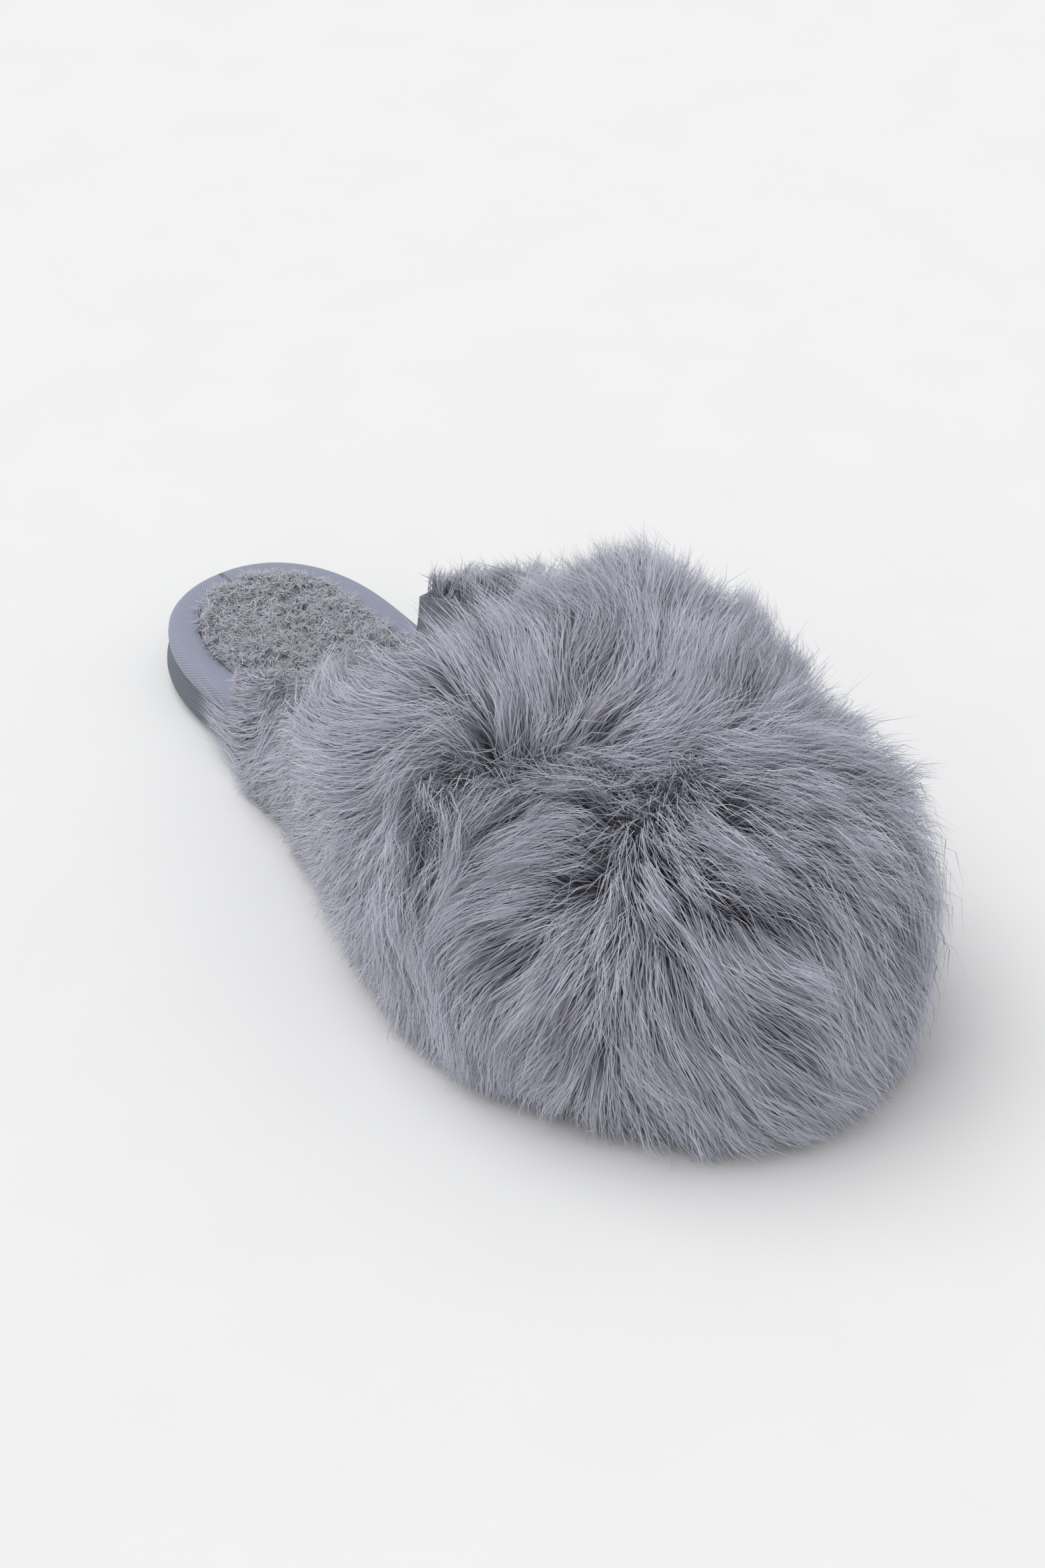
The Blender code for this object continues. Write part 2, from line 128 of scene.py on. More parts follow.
# Plush
PLUSH_COUNT = 46000
PLUSH_LENGTH = 4.6 * MM
PLUSH_WIDTH = 0.34 * MM


def unit(vectors):
    return vectors / np.maximum(np.linalg.norm(vectors, axis=-1, keepdims=True), 1e-9)


def smooth(value):
    value = np.clip(value, 0.0, 1.0)
    return value * value * (3 - 2 * value)


def blend(first, second, value):
    return first + (second - first) * value


def waves(points, size, seed, count=9):
    """A soft random field of about unit spread whose swells are about this size."""
    rng = np.random.default_rng(seed)
    directions = unit(rng.normal(size=(count, points.shape[-1])))
    pace = rng.uniform(0.7, 1.4, size=(count, 1))
    phases = rng.uniform(0, 2 * math.pi, size=count)
    swell = np.sin(points @ (directions * pace).T * (2 * math.pi / size) + phases)
    return swell.sum(axis=-1) * math.sqrt(2 / count)


# Sole outline


def end_cap(value, fullness):
    return np.maximum(0.0, 1 - np.clip(value, 0, 1) ** fullness) ** (1 / fullness)


def half_width(share, side):
    waist = WAIST_WIDTH / 2 + side * WAIST_SHIFT
    heel = HEEL_WIDTH / 2 * end_cap((HEEL_AT - share) / HEEL_AT, HEEL_FULLNESS)
    rear = blend(HEEL_WIDTH / 2, waist, smooth((share - HEEL_AT) / (WAIST_AT - HEEL_AT)))
    fore = blend(waist, BALL_WIDTH / 2, smooth((share - WAIST_AT) / (BALL_AT - WAIST_AT)))
    toe = BALL_WIDTH / 2 * end_cap((share - BALL_AT) / (1 - BALL_AT), TOE_FULLNESS[side])
    return np.select([share < HEEL_AT, share < WAIST_AT, share < BALL_AT], [heel, rear, fore], toe)


def centre_line(share):
    return -TOE_SWING * smooth((share - WAIST_AT) / (1 - WAIST_AT))


def sole_outline():
    """The ring from the heel tip along the outer side to the toe tip and back, and its outward normals."""
    turn = np.linspace(0, math.pi, OUTLINE_STEPS + 1)
    share = (1 - np.cos(turn)) / 2
    y = (share - 0.5) * SOLE_LENGTH
    outer = np.stack((centre_line(share) + half_width(share, 1), y), axis=1)
    inner = np.stack((centre_line(share) - half_width(share, -1), y), axis=1)
    ring = np.concatenate((outer, inner[-2:0:-1]))
    tangent = np.roll(ring, -1, axis=0) - np.roll(ring, 1, axis=0)
    return ring, unit(np.stack((tangent[:, 1], -tangent[:, 0]), axis=1))


OUTLINE, OUTWARD = sole_outline()


def share_at(y):
    return np.clip(y / SOLE_LENGTH + 0.5, 0, 1)


def sole_bottom(y):
    return TOE_SPRING * smooth((share_at(y) - SPRING_FROM) / (1 - SPRING_FROM))


def sole_top(y):
    ramp = smooth((share_at(y) - RAMP_FROM) / (RAMP_TO - RAMP_FROM))
    return blend(HEEL_THICKNESS, FOREPART_THICKNESS, ramp) + sole_bottom(y)


def inset_ring(distance, height):
    """The outline drawn in by a distance, at a height that is a function of y."""
    plan = OUTLINE - OUTWARD * distance
    return np.column_stack((plan, height(plan[:, 1])))


def lifted_ring(inset, lift):
    return inset_ring(inset, lambda y: sole_top(y) + lift)


# Mesh helpers


def add_piece(name, points, faces, finish, attributes=(), smooth_shading=True):
    """Links a mesh piece. faces is a list of index arrays, one for each number of corners."""
    mesh = bpy.data.meshes.new(name)
    corners = np.concatenate([block.reshape(-1) for block in faces]).astype(np.int32)
    totals = np.concatenate([np.full(len(block), block.shape[1]) for block in faces]).astype(np.int32)
    starts = np.concatenate(([0], np.cumsum(totals)[:-1])).astype(np.int32)
    mesh.vertices.add(len(points))
    mesh.vertices.foreach_set("co", points.astype(np.float32).reshape(-1))
    mesh.loops.add(len(corners))
    mesh.loops.foreach_set("vertex_index", corners)
    mesh.polygons.add(len(totals))
    mesh.polygons.foreach_set("loop_start", starts)
    mesh.polygons.foreach_set("loop_total", totals)
    mesh.polygons.foreach_set("use_smooth", np.full(len(totals), smooth_shading))
    mesh.update(calc_edges=True)
    for label, values in attributes:
        mesh.attributes.new(label, "FLOAT", "POINT").data.foreach_set("value", values.astype(np.float32))
    mesh.materials.append(finish)
    made = bpy.data.objects.new(name, mesh)
    bpy.context.scene.collection.objects.link(made)
    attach(made, BODY)
    return made


def add_uv(piece, per_vertex):
    """Stores plan distances in metres as the piece's UV map, for its weave."""
    mesh = piece.data
    layer = mesh.uv_layers.new(name="weave")
    corner = np.empty(len(mesh.loops), dtype=np.int32)
    mesh.loops.foreach_get("vertex_index", corner)
    layer.data.foreach_set("uv", per_vertex[corner].astype(np.float32).reshape(-1))


def tube_faces(rows, columns, close_rows=False):
    """Quads of a grid whose columns close on themselves; the last row may join the first."""
    row = np.arange(rows if close_rows else rows - 1)[:, None]
    column = np.arange(columns)[None, :]
    after_row = (row + 1) % rows
    after = (column + 1) % columns
    low = row * columns
    high = after_row * columns
    quads = np.stack((low + column, low + after, high + after, high + column), axis=-1)
    return quads.reshape(-1, 4)


def ribbons(name, paths, widths, facing, tone_and_painted_shade, finish):
    """Strands as thin tapered strips: two points at each step and one at the tip."""
    count, steps, _ = paths.shape
    heading = np.diff(paths, axis=1)
    heading = np.concatenate((heading, heading[:, -1:]), axis=1)
    across = unit(np.cross(heading, facing[:, None, :])) * widths[:, :, None] / 2
    left = paths[:, :-1] - across[:, :-1]
    right = paths[:, :-1] + across[:, :-1]
    pairs = np.stack((left, right), axis=2).reshape(count, 2 * (steps - 1), 3)
    points = np.concatenate((pairs, paths[:, -1:]), axis=1).reshape(-1, 3)
    per_strand = 2 * steps - 1
    base = (np.arange(count) * per_strand)[:, None]
    ladder = [(2 * k, 2 * k + 1, 2 * k + 3, 2 * k + 2) for k in range(steps - 2)]
    quads = (base[:, :, None] + np.array(ladder)[None]).reshape(-1, 4)
    tips = base + np.array([[2 * steps - 4, 2 * steps - 3, 2 * steps - 2]])
    values = np.concatenate((np.repeat(tone_and_painted_shade[:, :-1], 2, axis=1), tone_and_painted_shade[:, -1:]), axis=1).reshape(-1)
    return add_piece(name, points, [quads, tips], finish, [("tone_and_painted_shade", values)])


# Fur


class Wall:
    """The outer wall of the upper: its triangles, with normals that turn smoothly over them."""

    def __init__(self, node):
        mesh = node.data
        mesh.calc_loop_triangles()
        points = np.empty(len(mesh.vertices) * 3)
        mesh.vertices.foreach_get("co", points)
        points = points.reshape(-1, 3)
        triangles = np.empty(len(mesh.loop_triangles) * 3, dtype=np.int32)
        mesh.loop_triangles.foreach_get("vertices", triangles)
        _, first, merged = np.unique(np.round(points / 1e-6), axis=0, return_index=True, return_inverse=True)
        points = points[first]
        triangles = merged.reshape(-1)[triangles].reshape(-1, 3)
        corners = points[triangles]
        cross = np.cross(corners[:, 1] - corners[:, 0], corners[:, 2] - corners[:, 0])
        middle = corners.mean(axis=1)
        along = np.clip(middle[:, 1], WALL_AXIS_REAR, WALL_AXIS_FRONT)
        axis = np.column_stack((np.zeros(len(middle)), along, np.full(len(middle), WALL_AXIS_HEIGHT)))
        kept = (unit(cross) * unit(middle - axis)).sum(axis=1) > WALL_FACING
        self.corners = corners[kept]
        self.area = np.linalg.norm(cross[kept], axis=1) / 2
        normals = np.zeros_like(points)
        for k in range(3):
            np.add.at(normals, triangles[kept][:, k], cross[kept])
        self.normals = unit(normals)[triangles[kept]]
        self.find_collar(points, triangles[kept])

    def find_collar(self, points, triangles):
        """Middles of the collar's edges, and the way out over the edge at each."""
        edges = np.concatenate([np.sort(triangles[:, pair], axis=1) for pair in ([0, 1], [1, 2], [2, 0])])
        owners = np.tile(np.arange(len(triangles)), 3)
        _, first, uses = np.unique(edges, axis=0, return_index=True, return_counts=True)
        open_edges = first[uses == 1]
        middle = points[edges[open_edges]].mean(axis=1)
        inside = points[triangles[owners[open_edges]]].mean(axis=1)
        high = middle[:, 2] > sole_top(middle[:, 1]) + COLLAR_LIFT
        self.collar = middle[high]
        self.way_out = unit(middle - inside)[high]

    def collar_pull(self, root):
        """How close each root is to the collar, from 0 to 1, and the way out over its edge there."""
        match = nearest(root, self.collar)
        gap = np.linalg.norm(root - self.collar[match], axis=1)
        return np.exp(-((gap / COLLAR_BAND) ** 2)), self.way_out[match]

    def scatter(self, count, rng):
        """Random roots on the wall and their normals."""
        pick = rng.choice(len(self.area), size=count, p=self.area / self.area.sum())
        first, second = rng.uniform(size=(2, count))
        folded = first + second > 1
        first = np.where(folded, 1 - first, first)
        second = np.where(folded, 1 - second, second)
        shares = np.stack((1 - first - second, first, second), axis=1)[:, :, None]
        root = (self.corners[pick] * shares).sum(axis=1)
        return root, unit((self.normals[pick] * shares).sum(axis=1))


def along_segment(points, start, end):
    """The nearest place on a segment for each point."""
    run = end - start
    share = np.clip(((points - start) @ run) / (run @ run), 0, 1)
    return start + share[..., None] * run


def from_parting(root):
    """Way and distance from the nearest place of the parting."""
    nearest_gap = np.full(len(root), np.inf)
    way = np.zeros_like(root)
    for start, end in zip(PARTING, PARTING[1:]):
        offset = root - along_segment(root, start, end)
        gap = np.linalg.norm(offset, axis=1)
        closer = gap < nearest_gap
        nearest_gap[closer] = gap[closer]
        way[closer] = offset[closer]
    return unit(way), nearest_gap


def lie_directions(wall, root, normal):
    """The way the fur is combed: away from the parting, over the collar's edge, hanging where it is steep."""
    away, gap = from_parting(root)
    steep = 1 - np.clip(normal[:, 2:], 0, 1)
    close, way_out = wall.collar_pull(root)
    front = smooth((root[:, 1:2] - 60 * MM) / (40 * MM))
    low = smooth((34 * MM - root[:, 2:]) / (16 * MM))
    hang = 0.60 - 0.5 * inner_share(root)[:, None] * (1 - front) + 0.6 * low * front
    lie = away + steep * (1 - close[:, None]) * hang * np.array((0, 0, -1)) + 1.2 * close[:, None] * way_out
    lie = unit(lie - normal * (lie * normal).sum(axis=1, keepdims=True))
    near = np.exp(-((gap / (16 * MM)) ** 2))
    swing = (0.25 + 0.5 * near) * waves(root, 70 * MM, 21) + (0.20 + 0.5 * near) * waves(root, 26 * MM, 22)
    return turned(lie, normal, swing)


def turned(lie, normal, swing):
    """Directions in the skin turned about its normal by angles in radians."""
    return unit(lie * np.cos(swing)[:, None] + np.cross(normal, lie) * np.sin(swing)[:, None])


def inner_share(root):
    """0 on the outer side of the foot, 1 on the inner side, where the fur stands up."""
    return smooth((4 * MM - root[:, 0]) / (30 * MM))


def coat_depths(node, root, normal):
    """Depth of the solid coat over places of the wall, seen from outside."""
    mesh = node.data
    tree = BVHTree.FromPolygons([v.co for v in mesh.vertices], [p.vertices for p in mesh.polygons])
    outward = unit(np.column_stack((normal[:, :2], np.maximum(normal[:, 2], 0))))
    depths = np.zeros(len(root))
    for k, (place, way) in enumerate(zip(root + outward * COAT_SEARCH, -outward)):
        distance = tree.ray_cast(place, way, COAT_SEARCH)[3]
        if distance is not None:
            depths[k] = COAT_SEARCH - distance
    return depths


class Comb:
    """Places spread over the wall with the skin's normal, the fur's lie and the coat's depth at each."""

    def __init__(self, wall, pile):
        self.root, self.normal = wall.scatter(COMB_PLACES, np.random.default_rng(COMB_SEED))
        self.lie = lie_directions(wall, self.root, self.normal)
        depth = coat_depths(pile, self.root, self.normal)
        gaps = np.linalg.norm(self.root[:, None] - self.root[None], axis=2)
        weight = np.exp(-((gaps / COAT_BLUR) ** 2))
        self.depth = (weight @ depth) / weight.sum(axis=1)
        close, _ = wall.collar_pull(self.root)
        self.longest = blend(FREE_LENGTH, 1.2 * self.depth, smooth(1.4 * close))

    def grow(self, root, turn, length, fullness, steps):
        """Walks each strand over the skin: it climbs to its share of the coat's depth, then lies along it."""
        path = [root]
        spot = nearest(root, self.root)
        stride = np.minimum(length, self.longest[spot] * length / length.max()) / (steps - 1)
        for k in range(1, steps):
            spot = nearest(path[-1], self.root)
            normal = self.normal[spot]
            height = ((path[-1] - self.root[spot]) * normal).sum(axis=1)
            goal = self.depth[spot] * fullness * (1 - (1 - k / (steps - 1)) ** RISE_POWER)
            climb = np.clip((goal - height) / stride, -0.6, 0.99)[:, None]
            lie = turned(self.lie[spot], normal, turn)
            step = (normal * climb + lie * np.sqrt(1 - climb**2)) * stride[:, None]
            path.append(path[-1] + step * above_floor(path[-1], step))
        return np.stack(path, axis=1)


def press_creases(paths, normal):
    """Sinks and parts the strands along the creases. Returns the paths and how far in one each tip is."""
    share = np.linspace(0, 1, paths.shape[1])[None, :, None]
    inside = np.zeros(len(paths))
    for start, end, radius, depth in CREASES:
        axis = along_segment(paths, np.array(start) * MM, np.array(end) * MM)
        offset = paths - axis
        gap = np.linalg.norm(offset, axis=2, keepdims=True)
        weight = np.exp(-((gap / (radius * MM)) ** 2))
        aside = unit(offset) * np.minimum(gap / (0.5 * radius * MM), 1)
        paths = paths + (0.7 * aside - normal[:, None, :]) * weight * share * depth * MM
        inside = np.maximum(inside, weight[:, -1, 0])
    return paths, inside


def above_floor(position, step):
    """Share of each step after which it would touch the floor, but at least a little."""
    room = np.maximum(position[:, 2] - FLOOR_CLEARANCE, 0)
    return np.clip(room / np.maximum(-step[:, 2], 1e-9), 0.08, 1)[:, None]


def nearest(points, targets):
    """Index of the nearest target for each point."""
    found = np.empty(len(points), dtype=np.int64)
    half_square = (targets**2).sum(axis=1) / 2
    for first in range(0, len(points), 4000):
        block = points[first : first + 4000]
        found[first : first + 4000] = (block @ targets.T - half_square).argmax(axis=1)
    return found


def gather(paths, guides, grip, pinch):
    """Draws strands towards the guide strand of their clump, more at the tip than at the root."""
    steps = paths.shape[1]
    match = nearest(paths[:, 0], guides[:, 0])
    share = np.linspace(0, 1, steps)[None, :, None]
    offset = paths[:, :1] - guides[match][:, :1]
    target = guides[match] + offset * (1 - pinch * share)
    return blend(paths, target, grip[:, None, None] * share**0.8), match


def fur_guides(wall, comb, length, fullness, steps):
    """Guide strands of the locks, and of the finer clumps, which follow the locks."""
    rng = np.random.default_rng(GUIDE_SEED)
    guides = []
    for count, spread in GUIDE_SETS:
        root, _ = wall.scatter(count, rng)
        long = length * rng.uniform(0.85, 1.1, count)
        turn = rng.normal(0, spread, count)
        guides.append(comb.grow(root, turn, long, fullness * rng.normal(1, 0.14, count), steps))
    locks, clumps = guides
    clumps, _ = gather(clumps, locks, rng.uniform(0.2, 0.7, len(clumps)), 0.4)
    return locks, clumps


def fur_paths(wall, comb, count, length, fullness, steps, seed, spread):
    """Strand paths combed, clumped and ruffled. Returns paths, normals and for each strand a tone, darkened
    with painted shade where its tip lies in a crease.
    """
    rng = np.random.default_rng(seed)
    root, normal = wall.scatter(count, rng)
    long = length * rng.uniform(0.75, 1.1, count)
    paths = comb.grow(root, rng.normal(0, spread, count), long, fullness * rng.normal(1, 0.13, count), steps)
    locks, clumps = fur_guides(wall, comb, length, fullness, steps)
    paths, _ = gather(paths, locks, rng.uniform(0.0, 0.35, count), 0.4)
    paths, clump = gather(paths, clumps, rng.uniform(0.0, 0.75, count), 0.6)
    loose = rng.normal(0, LOOSENESS, (count, 1, 3)) * np.linspace(0, 1, steps)[None, :, None] ** 2
    stray = rng.uniform(size=count) < STRAY_SHARE
    loose[stray] *= STRAY_LOOSENESS
    paths, inside = press_creases(paths + loose, normal)
    paths[:, :, 2] = np.maximum(paths[:, :, 2], FLOOR_CLEARANCE)
    tone_of_clump = np.random.default_rng(31).normal(0, 0.05, len(clumps))
    # Painted shade: strands whose tips lie in a crease are darkened by up to a quarter.
    tone = (1 + rng.normal(0, 0.10, count) + tone_of_clump[clump]) * (1 - 0.25 * inside)
    return paths, normal, tone


def add_fur(wall, comb, coat, finish):
    """Fur in sectors round the foot, each within the limit of triangles."""
    prefix, count, length, fullness, width, steps, seed, spread, dark, light = coat
    paths, normal, tone = fur_paths(wall, comb, count, length, fullness, steps, seed, spread)
    rng = np.random.default_rng(seed + 1)
    share = np.linspace(0, 1, steps)
    taper = np.interp(share, (0, 0.5, 0.8, 1), (0.9, 1, 0.7, 0.3))
    widths = width * rng.uniform(0.7, 1.2, count)[:, None] * taper[None, :]
    facing = unit(normal + rng.normal(0, 0.45, (count, 3)))
    # Painted shade: each strand darkens from its tip level down to its root level, over its random tone.
    tone_and_painted_shade = tone[:, None] * (dark + (light - dark) * share[None, :] ** 0.8)
    bearing = np.arctan2(paths[:, 0, 1] - PARTING[0, 1], paths[:, 0, 0] - PARTING[0, 0])
    order = np.argsort(bearing)
    triangles = 2 * (steps - 2) + 1
    pieces = math.ceil(count * triangles / PIECE_TRIANGLES)
    for number, chosen in enumerate(np.array_split(order, pieces), start=1):
        piece = ribbons(
            f"{prefix}_{number}", paths[chosen], widths[chosen], facing[chosen], tone_and_painted_shade[chosen], finish
        )
        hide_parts("fur_pile")


# Materials


def new_material(name):
    made = bpy.data.materials.new(name)
    made.use_nodes = True
    return made, made.node_tree, made.node_tree.nodes["Principled BSDF"]


def ramp_node(tree, stops):
    node = tree.nodes.new("ShaderNodeValToRGB")
    node.color_ramp.elements[0].position = stops[0][0]
    node.color_ramp.elements[0].color = (*stops[0][1], 1)
    node.color_ramp.elements[1].position = stops[-1][0]
    node.color_ramp.elements[1].color = (*stops[-1][1], 1)
    for position, colour in stops[1:-1]:
        node.color_ramp.elements.new(position).color = (*colour, 1)
    return node


def noise_node(tree, scale, detail=3, roughness=0.55):
    node = tree.nodes.new("ShaderNodeTexNoise")
    node.inputs["Scale"].default_value = scale
    node.inputs["Detail"].default_value = detail
    node.inputs["Roughness"].default_value = roughness
    place = tree.nodes.new("ShaderNodeTexCoord")
    tree.links.new(place.outputs["Object"], node.inputs["Vector"])
    return node


def bump_node(tree, shader, height, distance, strength=1.0):
    node = tree.nodes.new("ShaderNodeBump")
    node.inputs["Distance"].default_value = distance
    node.inputs["Strength"].default_value = strength
    tree.links.new(height, node.inputs["Height"])
    tree.links.new(node.outputs["Normal"], shader.inputs["Normal"])
    return node


def strand_material(name, stops, roughness, sheen):
    """Colour runs along each strand from its root to its tip, with painted shade towards the root."""
    made, tree, shader = new_material(name)
    tone_and_painted_shade = tree.nodes.new("ShaderNodeAttribute")
    tone_and_painted_shade.attribute_name = "tone_and_painted_shade"
    ramp = ramp_node(tree, stops)
    tree.links.new(tone_and_painted_shade.outputs["Fac"], ramp.inputs["Fac"])
    tree.links.new(ramp.outputs["Color"], shader.inputs["Base Color"])
    shader.inputs["Roughness"].default_value = roughness
    shader.inputs["Specular IOR Level"].default_value = 0.3
    shader.inputs["Sheen Weight"].default_value = sheen
    shader.inputs["Sheen Roughness"].default_value = 0.5
    return made


# Strand colours from root to tip; the dark low end of each ramp is painted shade deep in the coat and the
# pile.
FUR_STOPS = (
    (0.0, (0.10, 0.10, 0.13)),
    (0.5, (0.36, 0.36, 0.43)),
    (1.0, (0.66, 0.665, 0.76)),
)
PLUSH_STOPS = (
    (0.0, (0.28, 0.28, 0.32)),
    (0.5, (0.48, 0.48, 0.54)),
    (1.0, (0.66, 0.66, 0.73)),
)


def plush_material():
    made, tree, shader = new_material("plush_ground")
    noise = noise_node(tree, 380, 4)
    ramp = ramp_node(tree, ((0.3, (0.34, 0.34, 0.39)), (0.7, (0.52, 0.52, 0.58))))
    tree.links.new(noise.outputs["Fac"], ramp.inputs["Fac"])
    tree.links.new(ramp.outputs["Color"], shader.inputs["Base Color"])
    shader.inputs["Roughness"].default_value = 0.9
    shader.inputs["Sheen Weight"].default_value = 0.3
    bump_node(tree, shader, noise.outputs["Fac"], 0.8 * MM)
    return made


def lining_material():
    made, tree, shader = new_material("lining_nap")
    noise = noise_node(tree, 520, 4)
    ramp = ramp_node(tree, ((0.3, (0.20, 0.20, 0.24)), (0.7, (0.34, 0.34, 0.39))))
    tree.links.new(noise.outputs["Fac"], ramp.inputs["Fac"])
    tree.links.new(ramp.outputs["Color"], shader.inputs["Base Color"])
    shader.inputs["Roughness"].default_value = 0.9
    bump_node(tree, shader, noise.outputs["Fac"], 0.5 * MM)
    return made


def twill_height(tree, period, angle):
    """Fine slanted ribs from the piece's own weave map, in metres."""
    weave = tree.nodes.new("ShaderNodeUVMap")
    weave.uv_map = "weave"
    turn = tree.nodes.new("ShaderNodeMapping")
    turn.inputs["Rotation"].default_value = (0, 0, angle)
    ribs = tree.nodes.new("ShaderNodeTexWave")
    ribs.bands_direction = "X"
    ribs.inputs["Scale"].default_value = math.pi / 10 / period
    ribs.inputs["Distortion"].default_value = 0.3
    ribs.inputs["Detail Scale"].default_value = 2.0
    tree.links.new(weave.outputs["UV"], turn.inputs["Vector"])
    tree.links.new(turn.outputs["Vector"], ribs.inputs["Vector"])
    return ribs


def tape_material():
    made, tree, shader = new_material("edge_twill")
    ribs = twill_height(tree, 0.75 * MM, math.radians(58))
    ramp = ramp_node(tree, ((0.0, (0.255, 0.275, 0.365)), (1.0, (0.35, 0.375, 0.475))))
    tree.links.new(ribs.outputs["Fac"], ramp.inputs["Fac"])
    tree.links.new(ramp.outputs["Color"], shader.inputs["Base Color"])
    shader.inputs["Roughness"].default_value = 0.75
    shader.inputs["Sheen Weight"].default_value = 0.15
    bump_node(tree, shader, ribs.outputs["Fac"], 0.12 * MM, 0.8)
    return made


def outsole_material():
    made, tree, shader = new_material("outsole_foam_rubber")
    ribs = twill_height(tree, 0.9 * MM, math.radians(82))
    ramp = ramp_node(tree, ((0.0, (0.118, 0.140, 0.165)), (1.0, (0.165, 0.190, 0.220))))
    tree.links.new(ribs.outputs["Fac"], ramp.inputs["Fac"])
    tree.links.new(ramp.outputs["Color"], shader.inputs["Base Color"])
    shader.inputs["Roughness"].default_value = 0.68
    bump_node(tree, shader, ribs.outputs["Fac"], 0.12 * MM, 0.7)
    return made


def floor_material():
    made, tree, shader = new_material("pale_floor")
    noise = noise_node(tree, 30, 2)
    ramp = ramp_node(tree, ((0.3, (0.878, 0.882, 0.885)), (0.7, (0.892, 0.895, 0.898))))
    tree.links.new(noise.outputs["Fac"], ramp.inputs["Fac"])
    tree.links.new(ramp.outputs["Color"], shader.inputs["Base Color"])
    shader.inputs["Roughness"].default_value = 0.95
    shader.inputs["Specular IOR Level"].default_value = 0.1
    return made


# Sole, tape and footbed


def ring_lengths(ring):
    steps = np.linalg.norm(np.roll(ring, -1, axis=0) - ring, axis=1)
    return np.concatenate(([0], np.cumsum(steps)[:-1]))


def ring_band(rings, closed):
    """Points, faces and a weave map of lengths along and across, for a band or hoop through outline rings."""
    points = np.concatenate(rings)
    columns = len(rings[0])
    piece_faces = tube_faces(len(rings), columns, closed)
    around = ring_lengths(rings[0])
    across = np.cumsum([0] + [np.linalg.norm(b - a, axis=1).mean() for a, b in zip(rings, rings[1:])])
    weave = np.concatenate([np.column_stack((around, np.full(columns, value))) for value in across])
    return points, piece_faces, weave


def cap_faces(first_index, columns):
    """Rungs across the foot that close an outline ring."""
    half = columns // 2
    k = np.arange(1, half - 1)
    quads = np.stack((k, k + 1, columns - k - 1, columns - k), axis=1) + first_index
    ends = np.array(((0, 1, columns - 1), (half - 1, half, half + 1))) + first_index
    return quads, ends


def add_outsole(finish):
    profile = (
        # inset, share of the local thickness
        (3.2 * MM, 0.0),
        (1.9 * MM, 0.04),
        (1.0 * MM, 0.13),
        (0.3 * MM, 0.26),
        (0.0, 0.40),
        (0.12 * MM, 0.55),
        (0.5 * MM, 0.72),
        (1.0 * MM, 0.90),
        (TAPE_SETBACK, 1.0),
    )
    rings = []
    for inset, share in profile:
        rings.append(inset_ring(inset, lambda y, s=share: blend(sole_bottom(y), sole_top(y), s)))
    points, sides, weave = ring_band(rings, False)
    columns = len(rings[0])
    low_quads, low_ends = cap_faces(0, columns)
    high_quads, high_ends = cap_faces((len(rings) - 1) * columns, columns)
    quads = np.concatenate((sides, low_quads[:, ::-1], high_quads))
    ends = np.concatenate((low_ends[:, ::-1], high_ends))
    piece = add_piece("outsole_skin", points, [quads, ends], finish)
    add_uv(piece, weave)
    piece.data.set_sharp_from_angle(angle=math.radians(50))
    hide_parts("outsole")


def add_tape(finish):
    outer = TAPE_SETBACK
    inner = TAPE_SETBACK + TAPE_REACH
    profile = (
        # inset, lift
        (outer, SEAT_GAP),
        (outer - 0.8 * TAPE_SWELL, 0.22 * TAPE_TOP),
        (outer - TAPE_SWELL, 0.48 * TAPE_TOP),
        (outer - 0.6 * TAPE_SWELL, 0.68 * TAPE_TOP),
        (outer + 0.35 * MM, TAPE_TOP - 1.1 * MM),
        (outer + 0.95 * MM, TAPE_TOP - 0.45 * MM),
        (outer + 1.8 * MM, TAPE_TOP - 0.1 * MM),
        (outer + 3.4 * MM, TAPE_TOP),
        (inner - 2.0 * MM, TAPE_TOP),
        (inner - 0.5 * MM, TAPE_TOP - 0.05 * MM),
        (inner, TAPE_TOP - 0.4 * MM),
        (inner, TAPE_UNDERSIDE),
        (outer + TAPE_THICKNESS, TAPE_UNDERSIDE),
        (outer + TAPE_THICKNESS, SEAT_GAP),
    )
    rings = [lifted_ring(*row) for row in profile]
    points, sides, weave = ring_band(rings, True)
    piece = add_piece("edge_tape_cloth", points, [sides], finish)
    add_uv(piece, weave)
    piece.data.set_sharp_from_angle(angle=math.radians(50))
    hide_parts("edge_tape")


def plush_lumps(plan):
    """Height of the curly nap over its ground, in metres."""
    curls = 0.42 * waves(plan, 6.5 * MM, 61) + 0.34 * waves(plan, 3.2 * MM, 62)
    return MM * (curls + 0.35 * waves(plan, 16 * MM, 63))


def edge_gap(plan):
    """Distance of plan points from the edge of the plush."""
    ring = OUTLINE - OUTWARD * PLUSH_INSET
    gap = np.empty(len(plan))
    for first in range(0, len(plan), 4000):
        block = plan[first : first + 4000]
        gap[first : first + 4000] = np.sqrt(((block[:, None] - ring[None]) ** 2).sum(axis=2)).min(axis=1)
    return gap


def plush_height(plan):
    gap = edge_gap(plan)
    crown = np.interp(gap, np.array((0, 0.5, 2.6, 8)) * MM, (0.25, 0.6, 0.9, 1.0))
    lift = SEAT_GAP + BOARD_THICKNESS + (PLUSH_DEPTH - 0.6 * MM) * crown
    return sole_top(plan[:, 1]) + lift + plush_lumps(plan) * smooth(gap / (3 * MM))


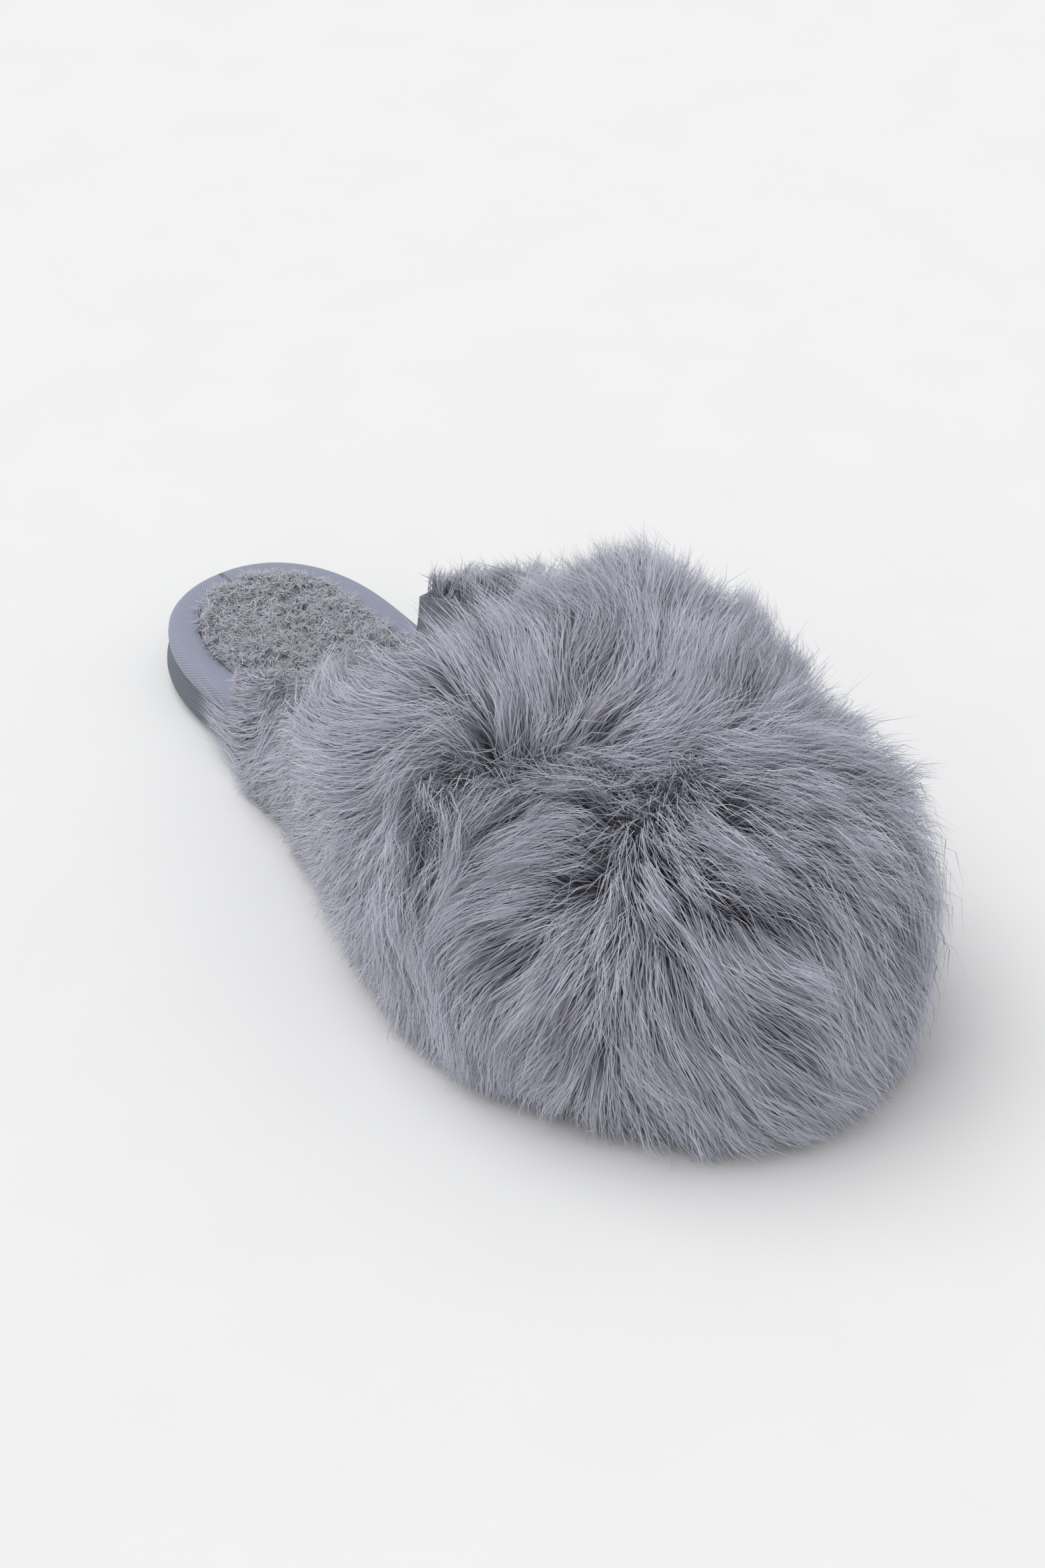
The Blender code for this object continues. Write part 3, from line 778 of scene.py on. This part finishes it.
def plush_plan(stations, columns):
    """Plan points on rungs across the foot, inside the plush's edge."""
    ring = OUTLINE - OUTWARD * PLUSH_INSET
    half = len(ring) // 2
    outer = ring[: half + 1]
    inner = ring[np.arange(0, -half - 1, -1)]
    low = outer[0, 1] + 0.3 * MM
    high = outer[half, 1] - 0.3 * MM
    y = low + (high - low) * (1 - np.cos(np.linspace(0, math.pi, stations))) / 2
    right = np.interp(y, outer[:, 1], outer[:, 0])
    left = np.interp(y, inner[:, 1], inner[:, 0])
    across = np.linspace(0, 1, columns)[None, :]
    x = left[:, None] + (right - left)[:, None] * across
    return np.stack((x, np.broadcast_to(y[:, None], x.shape)), axis=-1)


def add_footbed(ground, strands):
    stations, columns = 170, 52
    plan = plush_plan(stations, columns)
    flat = plan.reshape(-1, 2)
    top = np.column_stack((flat, plush_height(flat)))
    bottom = np.column_stack((flat, sole_top(flat[:, 1]) + SEAT_GAP))
    points = np.concatenate((top, bottom))
    index = np.arange(stations * columns).reshape(stations, columns)
    quads = np.stack((index[:-1, :-1], index[:-1, 1:], index[1:, 1:], index[1:, :-1]), axis=-1).reshape(-1, 4)
    rim = np.concatenate((index[0, :], index[1:, -1], index[-1, -2::-1], index[-2:0:-1, 0]))
    after = np.roll(rim, -1)
    under = stations * columns
    walls = np.stack((rim, rim + under, after + under, after), axis=1)
    faces = np.concatenate((quads, quads[:, ::-1] + under, walls))
    bed = add_piece("footbed_plush", points, [faces], ground)
    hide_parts("footbed")
    add_plush_pile(strands)


def add_plush_pile(finish):
    """Short curly pile; its curls turn together over a few millimetres."""
    rng = np.random.default_rng(71)
    plan = plush_plan(400, 2)
    share = rng.beta(1.0, 1.7, PLUSH_COUNT)
    y = blend(plan[0, 0, 1], plan[-1, 0, 1], share)
    left = np.interp(y, plan[:, 0, 1], plan[:, 0, 0])
    right = np.interp(y, plan[:, 1, 1], plan[:, 1, 0])
    flat = np.column_stack((blend(left, right, rng.uniform(size=PLUSH_COUNT)), y))
    root = np.column_stack((flat, plush_height(flat) - 1.2 * MM))
    turn = 2.4 * waves(flat, 9 * MM, 72) + 1.1 * waves(flat, 4 * MM, 73) + rng.normal(0, 0.35, PLUSH_COUNT)
    lie = np.column_stack((np.cos(turn), np.sin(turn), np.zeros(PLUSH_COUNT)))
    up = np.array((0, 0, 1.0))
    long = PLUSH_LENGTH * rng.uniform(0.7, 1.2, PLUSH_COUNT)[:, None]
    middle = root + (0.35 * lie + 0.75 * up) * long * 0.55
    tip = middle + (0.95 * lie + rng.normal(0, 0.25, (PLUSH_COUNT, 3))) * long * 0.45
    paths = np.stack((root, middle, tip), axis=1)
    facing = unit(up + rng.normal(0, 0.4, (PLUSH_COUNT, 3)))
    widths = PLUSH_WIDTH * rng.uniform(0.7, 1.2, PLUSH_COUNT)[:, None] * np.array((1.0, 0.9, 0.5))[None, :]
    tone = 1 + rng.normal(0, 0.08, PLUSH_COUNT) + 0.05 * waves(flat, 5 * MM, 74)
    # Painted shade: each curl is darker at its root, deep in the pile, over its random tone.
    tone_and_painted_shade = tone[:, None] * np.array((0.25, 0.65, 0.9))[None, :]
    ribbons("footbed_pile", paths, widths, facing, tone_and_painted_shade, finish)


# Light, floor and camera


def add_sun(direction, strength, angle):
    data = bpy.data.lights.new("window_light", "SUN")
    data.energy = strength
    data.angle = math.radians(angle)
    made = bpy.data.objects.new("window_light", data)
    made.rotation_euler = (-Vector(direction)).to_track_quat("-Z", "Y").to_euler()
    bpy.context.scene.collection.objects.link(made)


def set_world(colour, strength):
    world = bpy.data.worlds.new("studio")
    world.use_nodes = True
    background = world.node_tree.nodes["Background"]
    background.inputs["Color"].default_value = (*colour, 1)
    background.inputs["Strength"].default_value = strength
    bpy.context.scene.world = world


def add_floor(finish):
    half = 6.0
    corners = [(-half, -half, 0), (half, -half, 0), (half, half, 0), (-half, half, 0)]
    mesh = bpy.data.meshes.new("floor")
    mesh.from_pydata(corners, [], [(0, 1, 2, 3)])
    mesh.materials.append(finish)
    floor = bpy.data.objects.new("floor", mesh)
    bpy.context.scene.collection.objects.link(floor)


CAMERA_PLACE = (0.421, 0.557, 0.568)
CAMERA_TARGET = (-0.005, 0.012, 0.022)
CAMERA_LENS = 78


def add_camera():
    data = bpy.data.cameras.new("camera")
    data.lens = CAMERA_LENS
    data.sensor_width = 36
    data.clip_start = 0.01
    made = bpy.data.objects.new("camera", data)
    made.location = CAMERA_PLACE
    made.rotation_euler = (Vector(CAMERA_TARGET) - Vector(CAMERA_PLACE)).to_track_quat("-Z", "Y").to_euler()
    bpy.context.scene.collection.objects.link(made)
    bpy.context.scene.camera = made


def main():
    add_camera()
    add_floor(floor_material())
    set_world((1.0, 1.0, 1.0), 0.62)
    add_sun((0.22, -0.50, 1.2), 1.35, 50)
    bpy.context.scene.view_settings.view_transform = "Standard"

    add_outsole(outsole_material())
    add_tape(tape_material())
    add_footbed(plush_material(), strand_material("plush_curls", PLUSH_STOPS, 0.85, 0.2))

    upper = NODES["upper"]
    lining = lining_material()
    for spot in upper.material_slots:
        spot.material = lining

    fur = strand_material("long_fur", FUR_STOPS, 0.55, 0.25)
    wall = Wall(upper)
    comb = Comb(wall, NODES["fur_pile"])
    for coat in FUR_COATS:
        add_fur(wall, comb, coat, fur)


main()
